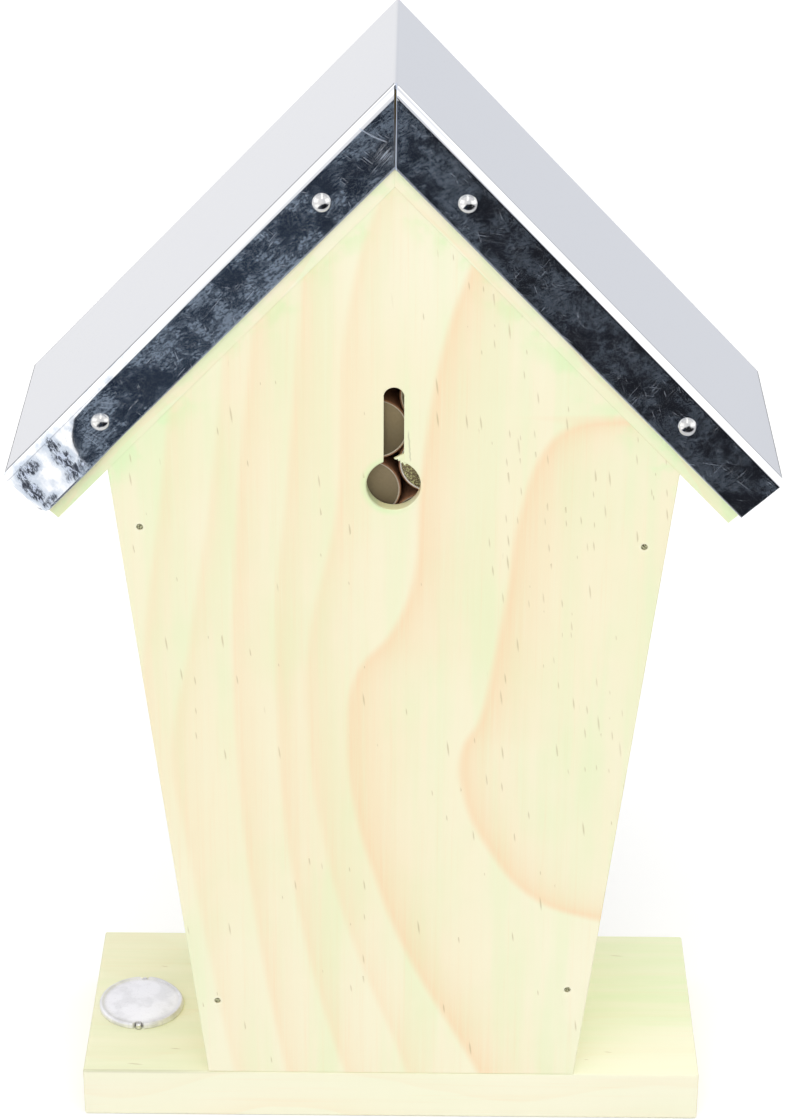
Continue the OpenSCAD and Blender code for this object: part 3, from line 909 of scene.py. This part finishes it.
def dress_brads(fixings, node, axis, name):
    """Thin brads with flat heads that were punched under the surface."""
    made = bmesh.new()
    axis = Vector(axis)
    for group in solids(node):
        tall = group @ np.array(axis)
        top, tail = tall.max(), tall.min()
        lo, hi = group.min(0), group.max(0)
        middle = Vector((lo + hi) / 2)
        centre = middle - axis * middle.dot(axis) + axis * top
        spread = group - np.array(middle)
        spread -= np.outer(spread @ np.array(axis), np.array(axis))
        head = np.linalg.norm(spread, axis=1).max()
        body = head * 0.76
        long = top - tail
        profile = [(0, -long), (body, -long + 2 * body), (body, -0.85 * MM), (head, -0.75 * MM),
                   (head, -0.20 * MM), (head * 0.82, 0.0), (head * 0.4, 0.0),
                   (head * 0.25, -0.08 * MM), (0, -0.08 * MM)]
        across = (1, 0, 0) if abs(axis.x) < 0.5 else (0, 1, 0)
        turned(made, profile, centre, axis, across, 24)
    f = new_finish("dull_steel_" + name)
    dusty = f.noise(f.x / 0.45, f.y / 0.45, f.z / 0.45, detail=3.0).step(0.42, 0.54)
    finish = f.done(base_color=f.blend(dusty, fixings.dull, fixings.dust), metallic=0.3,
                    roughness=0.55, normal=f.bump(dusty, 0.06, 0.6))
    piece(name, finished(made), [finish], [node], 40)


def dress_badge(fixings):
    """A blank pressed disc with a rolled rim and a shallow dish, held by two pins."""
    low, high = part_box("badge_disc")
    centre = Vector(((low.x + high.x) / 2, (low.y + high.y) / 2, low.z))
    radius = (high.x - low.x) / 2
    rise = high.z - low.z
    rim = fixings.rim
    f = new_finish("badge_metal")
    aside, along = f.x - centre.x / MM, f.y - centre.y / MM
    out = (aside * aside + along * along).root()
    brush = f.noise(aside * 0.35 + along * 0.1, along * 9, 0.0, detail=3.0, roughness=0.6)
    pits = f.noise(f.x / 0.55, f.y / 0.55, 2.0, detail=3.0).step(0.56, 0.7)
    worn = f.noise(f.x / 5, f.y / 5, 7.0, detail=3.0).step(0.45, 0.62)
    dull = tuple(c * 0.72 for c in fixings.badge)
    colour = f.blend(worn * 0.35 + pits * 0.25 + out.step(8.4, 9.4) * 0.3,
                     tuple(fixings.badge), dull)
    finish = f.done(base_color=colour, metallic=1 - pits * 0.15,
                    roughness=brush * 0.3 + 0.24 + out.step(8, 9) * 0.15,
                    normal=f.bump(brush * 0.5 - pits * 0.5, 0.05, 0.6))
    made = bmesh.new()
    height = rise * 0.985
    profile = [(0, 0.02 * MM), (radius * 0.97, 0.0), (radius, 0.2 * MM), (radius, height * 0.55),
               (radius - 0.12 * MM, height * 0.74), (radius - 0.35 * MM, height * 0.86),
               (radius - 0.6 * MM, height * 0.88), (radius - 0.85 * MM, height * 0.82),
               (radius - rim, height * 0.72), (radius - rim - 0.35 * MM, height * 0.70)]
    inner = radius - rim - 0.35 * MM
    for i in range(1, 9):
        share_in = 1 - i / 8
        profile.append((inner * share_in, height * (0.70 + 0.28 * (1 - share_in ** 2))))
    profile[-1] = (0.0, height * 0.98)

    nick = 1.25 * MM

    def notch(r, h, turn):
        """Nicks beside the pins, and one side that was pressed a little flat."""
        for pole in (math.pi / 2, -math.pi / 2):
            gap = abs((turn - pole + math.pi) % (2 * math.pi) - math.pi) * radius
            if r > radius - 1.3 * MM and gap < nick:
                r = min(r, radius - nick + (gap / nick) ** 6 * nick)
        flat = math.cos(turn - math.radians(-140))
        if r > radius * 0.9 and flat > 0.86:
            r *= 1 - (flat - 0.86) * 0.22
        return r, h
    turned(made, profile, centre, (0, 0, 1), (1, 0, 0), 180, wobble=notch)
    piece("blank_badge", finished(made), [finish], ["badge_disc"], 30)
    made = bmesh.new()
    for group in solids("badge_pins"):
        lo, hi = group.min(0), group.max(0)
        r, tall = (hi[0] - lo[0]) / 2, hi[2] - lo[2]
        profile = [(0, -tall), (r * 0.8, -tall + r), (r, -tall + 2 * r), (r, -0.25 * MM),
                   (r * 0.85, -0.06 * MM), (r * 0.5, 0.0), (0, 0.0)]
        turned(made, profile, Vector(((lo[0] + hi[0]) / 2, (lo[1] + hi[1]) / 2, hi[2])),
               (0, 0, 1), (1, 0, 0), 24)
    finish = bright_metal("badge_pin_metal", tuple(fixings.bright), 0.15, 0.3)
    piece("badge_pins_bright", finished(made), [finish], ["badge_pins"], 40)


# --- card tubes ------------------------------------------------------------------------

OUTSIDE, INSIDE, RIM, CAP = range(4)
LAYERS = range(1, 13)
WINDING = 19  # length of a tube for one turn of its card strip, in millimetres
TUBE_SIDES = 56


def card_finish(kind, card):
    """Card wound in a spiral round each tube's own middle; every tube has its own tone."""
    f = new_finish("card_" + kind)
    apart = f.node("ShaderNodeSeparateXYZ", {}, {
        0: f.node("ShaderNodeAttribute", {"attribute_name": "tube"}, out="Vector")})
    centre_x, own, centre_z = (Wire(f, o) for o in apart.socket.node.outputs)
    fibre = f.noise(f.x * 1.6, f.y * 0.5, f.z * 1.6, detail=5.0, roughness=0.65)
    blot = f.noise(f.x / 5, f.y / 8, f.z / 5, detail=3.0)
    base = {"outside": card.card, "inside": card.inside, "rim": card.rim, "cap": card.cap}[kind]
    dark = tuple(c * 0.62 for c in base)
    light = tuple(min(1.0, c * 1.22) for c in base)
    colour = f.blend(fibre.step(0.35, 0.65) * 0.5 + blot.step(0.4, 0.65) * 0.2, base, dark)
    colour = f.blend(own * 0.5, colour, light)
    chosen = own.step(0.93, 0.94)
    if kind == "cap":
        deep = tuple(c * 0.34 for c in base)
        colour = f.blend(own * 0.35 + 0.38, dark, light)
        # Painted shade: each disc is darker towards its bottom, where shade falls inside its tube.
        colour = f.blend((f.z - centre_z).step(6, -7) * 0.8, colour, deep)
        colour = f.blend(fibre.step(0.3, 0.7) * 0.12, colour, deep)
        crumb = f.noise(f.x * 2.2, f.y * 2.2, f.z * 2.2, detail=4.0, roughness=0.7)
        colour = f.blend(chosen * crumb.step(0.5, 0.56) * 0.8, colour, tuple(card.moss))
        return f.done(base_color=colour, roughness=0.85, specular_ior_level=0.2,
                      normal=f.bump(fibre * 0.4 + crumb * chosen * 3.0, 0.12, 0.5))
    if kind == "rim":
        plies = f.noise(f.x * 5, f.y * 5, f.z * 5, detail=3.0)
        colour = f.blend(plies.step(0.45, 0.7) * 0.4, colour, dark)
        colour = f.blend(chosen * 0.8, colour, (0.8, 0.8, 0.78))
        return f.done(base_color=colour, roughness=0.9, normal=f.bump(plies, 0.08, 0.6),
                      specular_ior_level=0.2)
    turn = (f.z - centre_z).angle(f.x - centre_x) / (2 * math.pi)
    wound = f.y / WINDING + turn + own * 7
    seam = abs(wound - wound.floor() - 0.5).step(0.035, 0.01)
    colour = f.blend(seam * 0.55, colour, dark)
    return f.done(base_color=colour, roughness=fibre * 0.2 + 0.72,
                  normal=f.bump(fibre * 0.4 - seam, 0.12, 0.5), specular_ior_level=0.25)


def dress_tubes(card, layer, finishes):
    """One layer of wound tubes, each pressed a little oval and closed by a disc at the back."""
    node = f"tube_layer_{layer:02d}"
    luck = random.Random(505 + layer)
    made = bmesh.new()
    known = made.verts.layers.float_vector.new("tube")
    soft = 0.14 * MM
    slots = [CAP] * 3 + [RIM] * 2 + [OUTSIDE] * 8 + [RIM] * 3 + [INSIDE] * 5
    for group in solids(node):
        low, high = group.min(0), group.max(0)
        centre = Vector(((low[0] + high[0]) / 2, high[1], (low[2] + high[2]) / 2))
        outer = (high[0] - low[0]) / 2
        inner = np.hypot(group[:, 0] - centre.x, group[:, 2] - centre.z).min()
        mouth, cap_front, cap_back, _ = np.unique((group[:, 1] - centre.y).round(6))
        own = luck.random()
        lie = luck.uniform(0, math.pi)
        squash = luck.uniform(0.2, 1.0) * card.oval
        slant, way = luck.uniform(0, 0.25) * MM, luck.uniform(0, 2 * math.pi)

        def pressed(r, h, turn):
            r *= 1 - squash * (1 + math.cos(2 * (turn - lie)))
            return r, h + (slant * (1 + math.cos(turn - way)) / 2 if h < cap_front * 2 else 0)
        profile = [(0.0, cap_back), (inner * 0.6, cap_back - 0.05 * MM), (inner, cap_back),
                   (inner, -soft), (inner + soft, 0.0), ((inner + outer) / 2, 0.0),
                   (outer - soft, 0.0)]
        profile += [(outer, h) for h in np.linspace(-soft, mouth + soft, 7)]
        profile += [(outer - soft, mouth), (inner + soft, mouth)]
        profile += [(inner, h) for h in np.linspace(mouth + soft, cap_front, 5)]
        rings = turned(made, profile + [(0.0, cap_front)], centre, (0, 1, 0), (1, 0, 0),
                       TUBE_SIDES, slots, pressed)
        for ring in rings:
            for vert in ring:
                vert[known] = (centre.x / MM, own, centre.z / MM)
    piece(f"card_tubes_{layer:02d}", finished(made), finishes, [node], 40)


# --- studio ----------------------------------------------------------------------------

WHITE = (1.0, 1.0, 1.0)
COOL_LEVEL, PALE_LEVEL = (0.755, 0.77, 0.815), (0.915, 0.915, 0.935)
CEILING_LEVEL = (0.84, 0.85, 0.88)
CARD_HEIGHT = 3 * MM
HOUSE_MIDDLE = Vector((0, 0, 0.12))
CAMERA_PLACE = Vector((-5.25, 649.4, 473.07)) * MM
CAMERA_PITCH, CAMERA_ROLL = 0.4762, 0.0084

# The lamps: (name, place, diameter, power as a share of the key lamp's)
LAMPS = (("overhead_lamp", (0.1, 0.6, 1.6), 1.8, 1.02),
         ("rear_lamp", (0.4, 2.0, 1.1), 1.2, 0.41),
         ("front_lamp", (-0.9, -1.2, 1.1), 1.2, 0.4))


def stage_plane(name, low, high, height, surface, mirrored_only=True):
    """A level plane of the studio; surface makes its shader from a finish."""
    mesh = bpy.data.meshes.new(name)
    mesh.from_pydata([(low[0], low[1], height), (high[0], low[1], height),
                      (high[0], high[1], height), (low[0], high[1], height)], [], [(0, 1, 2, 3)])
    f = new_finish(name)
    mesh.materials.append(f.close(surface(f)))
    made = bpy.data.objects.new(name, mesh)
    bpy.context.scene.collection.objects.link(made)
    if mirrored_only:
        made.visible_camera = made.visible_diffuse = made.visible_shadow = False
        made.visible_transmission = made.visible_volume_scatter = False


def area_lamp(name, place, size, power):
    """A round lamp that shines on the house and doesn't show in polished steel."""
    data = bpy.data.lights.new(name, "AREA")
    data.shape, data.size, data.energy = "DISK", size, power
    made = bpy.data.objects.new(name, data)
    bpy.context.scene.collection.objects.link(made)
    made.location = place
    made.rotation_euler = (HOUSE_MIDDLE - Vector(place)).to_track_quat("-Z", "Y").to_euler()
    made.visible_glossy = False


def set_camera(studio):
    """Behind the house and above it, looking down at the back board."""
    data = bpy.data.cameras.new("camera")
    made = bpy.data.objects.new("camera", data)
    bpy.context.scene.collection.objects.link(made)
    data.sensor_width = 36.0
    data.lens = studio.lens
    data.shift_x = -0.02125
    data.clip_start, data.clip_end = 0.01, 20.0
    ahead = Vector((0, -math.cos(CAMERA_PITCH), -math.sin(CAMERA_PITCH)))
    right = Vector((-1, 0, 0))
    up = right.cross(ahead)
    c, s = math.cos(CAMERA_ROLL), math.sin(CAMERA_ROLL)
    right, up = right * c + up * s, up * c - right * s
    turn = Matrix((right, up, -ahead)).transposed()
    made.matrix_world = Matrix.Translation(CAMERA_PLACE) @ turn.to_4x4()
    bpy.context.scene.camera = made


def mirrored_level(f, side):
    """What polished steel sees low down all round: cool and darker on one side."""
    return f.blend(side, COOL_LEVEL, PALE_LEVEL)


def light_path(f):
    """(whether the camera sees this, whether polished steel mirrors it)."""
    path = f.node("ShaderNodeLightPath").socket.node.outputs
    seen = Wire(f, path["Is Camera Ray"]).high(Wire(f, path["Is Transmission Ray"]))
    return seen, Wire(f, path["Is Glossy Ray"])


def floor_surface(f):
    """White paper that keeps its shadows; in polished steel it runs on into the far wall."""
    seen, mirrored = light_path(f)
    paper = f.node("ShaderNodeBsdfDiffuse", {}, {"Color": (0.86, 0.86, 0.86)})
    reach = (f.x * f.x + f.y * f.y).root()
    glow = f.node("ShaderNodeEmission", {}, {
        "Color": WHITE, "Strength": seen * (reach.step(500, 1500) * 0.25 + 0.22)})
    lit = f.node("ShaderNodeAddShader", {}, {0: paper, 1: glow})
    near = reach.step(1500, 900) * f.x.step(100, -200)
    wall = f.node("ShaderNodeEmission", {}, {
        "Color": mirrored_level(f, f.x.step(-300, 400)), "Strength": 1 - near * 0.08})
    return f.node("ShaderNodeMixShader", {}, {0: mirrored, 1: lit, 2: wall})


def card_surface(f, colour, strength=1.0):
    """A card that only polished steel sees."""
    return f.node("ShaderNodeEmission", {}, {"Color": colour, "Strength": strength})


def room_surface(f, studio):
    """White for the camera, even light for the house, and for polished steel a room: a pale
    ceiling with a narrow window, white strips to the sides and a dark line low down."""
    seen, mirrored = light_path(f)
    wide = abs(f.x)
    level = mirrored_level(f, f.x.step(-0.25, 0.25))
    level = f.blend(f.z.step(0.3, 0.6) * f.y.step(-0.7, -0.5), level, CEILING_LEVEL)
    window = wide.step(0.15, 0.09) * f.z.step(0.42, 0.50) * f.y.step(-0.7, -0.6)
    level = f.blend(window, level, (1.6, 1.6, 1.6))
    strip = wide.step(0.40, 0.48) * f.z.step(0.52, 0.44) * f.y.step(-0.72, -0.69)
    level = f.blend(strip, level, (1.4, 1.4, 1.4))
    line = f.y.step(-0.865, -0.84) * f.y.step(-0.66, -0.70) * wide.step(0.40, 0.46)
    line = line * (0.5 + 0.45 * f.x.step(-0.3, 0.3)) * f.z.step(0.4, 0.3)
    level = f.blend(line, level, (0.08, 0.08, 0.10))
    light = f.blend(mirrored, (studio.sky, studio.sky, studio.sky), level)
    light = f.blend(seen, light, WHITE)
    return f.node("ShaderNodeBackground", {}, {"Color": light, "Strength": 1.0})


def dress_stage(studio):
    """The floor, the cards that the flanges mirror, the world, the lamps and the camera."""
    scene = bpy.context.scene
    scene.view_settings.view_transform = "Standard"
    reach = studio.reach
    stage_plane("floor", (-reach, -reach), (reach, reach), -0.1 * MM, floor_surface, False)

    def shade(f):
        return card_surface(f, f.blend(f.x.step(-50, 75), studio.shade, studio.shade_blue))

    def front(f):
        tone_here = f.blend(f.y.step(-1200, -300), studio.front_far, studio.front_near)
        return card_surface(f, tone_here)

    def white(f):
        return card_surface(f, WHITE, 1.3)
    stage_plane("shade_card", (-0.6, 0.2), (0.17, 1.7), CARD_HEIGHT, shade)
    stage_plane("white_card", (0.17, 0.2), (0.6, 1.2), CARD_HEIGHT, white)
    stage_plane("front_card", (-0.8, -0.9), (0.8, -0.12), CARD_HEIGHT, front)
    stage_plane("front_card_far", (-0.2, -1.6), (0.2, -0.9), CARD_HEIGHT, front)

    scene.world = bpy.data.worlds.new("studio")
    room = Finish(scene.world, "Generated", 1.0)
    room.close(room_surface(room, studio), "ShaderNodeOutputWorld")
    for name, place, size, part in LAMPS:
        area_lamp(name, place, size, studio.key * part)
    set_camera(studio)


# --- operators -------------------------------------------------------------------------

def settings_for(operator, context):
    """The settings, once the frame is known to hold the nodes that the operator needs."""
    missing = [name for name in operator.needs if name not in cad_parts]
    if missing:
        raise RuntimeError(f"{operator.bl_label}: the frame lacks {missing}")
    return context.scene.bee_house


class BEEHOUSE_OT_base_board(bpy.types.Operator):
    """Makes the base board in pine"""
    bl_idname = "bee_house.base_board"
    bl_label = "Base Board"
    bl_options = {"REGISTER", "UNDO"}
    needs = ("base_board",)

    def execute(self, context):
        settings = settings_for(self, context)
        dress_base_board(settings.timber)
        return {"FINISHED"}


class BEEHOUSE_OT_back_board(bpy.types.Operator):
    """Makes the back board with its keyhole and growth rings"""
    bl_idname = "bee_house.back_board"
    bl_label = "Back Board"
    bl_options = {"REGISTER", "UNDO"}
    needs = ("back_board", "back_board_nails")

    def execute(self, context):
        settings = settings_for(self, context)
        dress_back_board(settings.timber)
        return {"FINISHED"}


class BEEHOUSE_OT_side_walls(bpy.types.Operator):
    """Makes the two leaning side walls"""
    bl_idname = "bee_house.side_walls"
    bl_label = "Side Walls"
    bl_options = {"REGISTER", "UNDO"}
    needs = ("left_side_wall", "right_side_wall")

    def execute(self, context):
        settings = settings_for(self, context)
        dress_side_wall(settings.timber, LEFT, "left_side_wall")
        dress_side_wall(settings.timber, RIGHT, "right_side_wall")
        return {"FINISHED"}


class BEEHOUSE_OT_roof_boards(bpy.types.Operator):
    """Makes the two roof boards"""
    bl_idname = "bee_house.roof_boards"
    bl_label = "Roof Boards"
    bl_options = {"REGISTER", "UNDO"}
    needs = ("left_roof_board", "right_roof_board")

    def execute(self, context):
        settings = settings_for(self, context)
        dress_roof_board(settings.timber, LEFT, "left_roof_board")
        dress_roof_board(settings.timber, RIGHT, "right_roof_board")
        return {"FINISHED"}


class BEEHOUSE_OT_roof_sheet(bpy.types.Operator):
    """Makes the folded steel sheet"""
    bl_idname = "bee_house.roof_sheet"
    bl_label = "Roof Sheet"
    bl_options = {"REGISTER", "UNDO"}
    needs = ("roof_sheet",)

    def execute(self, context):
        settings = settings_for(self, context)
        dress_roof_sheet(settings.steel)
        return {"FINISHED"}


class BEEHOUSE_OT_nails(bpy.types.Operator):
    """Makes the domed nails of the roof and the brads of the boards"""
    bl_idname = "bee_house.nails"
    bl_label = "Nails"
    bl_options = {"REGISTER", "UNDO"}
    needs = ("rear_roof_nails", "front_roof_nails", "back_board_nails", "base_nails")

    def execute(self, context):
        settings = settings_for(self, context)
        dress_dome_nails(settings.fixings, REAR, "rear_roof_nails")
        dress_dome_nails(settings.fixings, FRONT, "front_roof_nails")
        dress_brads(settings.fixings, "back_board_nails", (0, 1, 0), "back_board_brads")
        dress_brads(settings.fixings, "base_nails", (0, 0, -1), "base_board_brads")
        return {"FINISHED"}


class BEEHOUSE_OT_badge(bpy.types.Operator):
    """Makes the blank badge and its two pins"""
    bl_idname = "bee_house.badge"
    bl_label = "Badge"
    bl_options = {"REGISTER", "UNDO"}
    needs = ("badge_disc", "badge_pins")

    def execute(self, context):
        settings = settings_for(self, context)
        dress_badge(settings.fixings)
        return {"FINISHED"}


class BEEHOUSE_OT_card_tubes(bpy.types.Operator):
    """Makes the nesting tubes, layer by layer"""
    bl_idname = "bee_house.card_tubes"
    bl_label = "Card Tubes"
    bl_options = {"REGISTER", "UNDO"}
    needs = tuple(f"tube_layer_{layer:02d}" for layer in LAYERS)

    def execute(self, context):
        settings = settings_for(self, context)
        finishes = [card_finish(kind, settings.card)
                    for kind in ("outside", "inside", "rim", "cap")]
        for layer in LAYERS:
            dress_tubes(settings.card, layer, finishes)
        return {"FINISHED"}


class BEEHOUSE_OT_studio(bpy.types.Operator):
    """Sets the floor, the lamps, the world and the camera"""
    bl_idname = "bee_house.studio"
    bl_label = "Studio"
    bl_options = {"REGISTER", "UNDO"}
    needs = ()

    def execute(self, context):
        settings = settings_for(self, context)
        dress_stage(settings.studio)
        return {"FINISHED"}


OPERATORS = (BEEHOUSE_OT_base_board, BEEHOUSE_OT_back_board, BEEHOUSE_OT_side_walls,
             BEEHOUSE_OT_roof_boards, BEEHOUSE_OT_roof_sheet, BEEHOUSE_OT_nails,
             BEEHOUSE_OT_badge, BEEHOUSE_OT_card_tubes, BEEHOUSE_OT_studio)


class BEEHOUSE_PT_panel(bpy.types.Panel):
    """Lists the pieces of the bee house"""
    bl_idname = "BEEHOUSE_PT_panel"
    bl_label = "Bee House"
    bl_space_type = "VIEW_3D"
    bl_region_type = "UI"
    bl_category = "Bee House"

    def draw(self, context):
        for operator in OPERATORS:
            self.layout.operator(operator.bl_idname)


CLASSES = (BeeHouseTimber, BeeHouseSteel, BeeHouseFixings, BeeHouseCard, BeeHouseStudio,
           BeeHouseSettings, *OPERATORS, BEEHOUSE_PT_panel)


def register():
    for kind in CLASSES:
        bpy.utils.register_class(kind)
    bpy.types.Scene.bee_house = bpy.props.PointerProperty(type=BeeHouseSettings)


def unregister():
    del bpy.types.Scene.bee_house
    for kind in reversed(CLASSES):
        bpy.utils.unregister_class(kind)


def main():
    register()
    for operator in OPERATORS:
        group, name = operator.bl_idname.split(".")
        getattr(getattr(bpy.ops, group), name)()


if __name__ == "__main__":
    main()
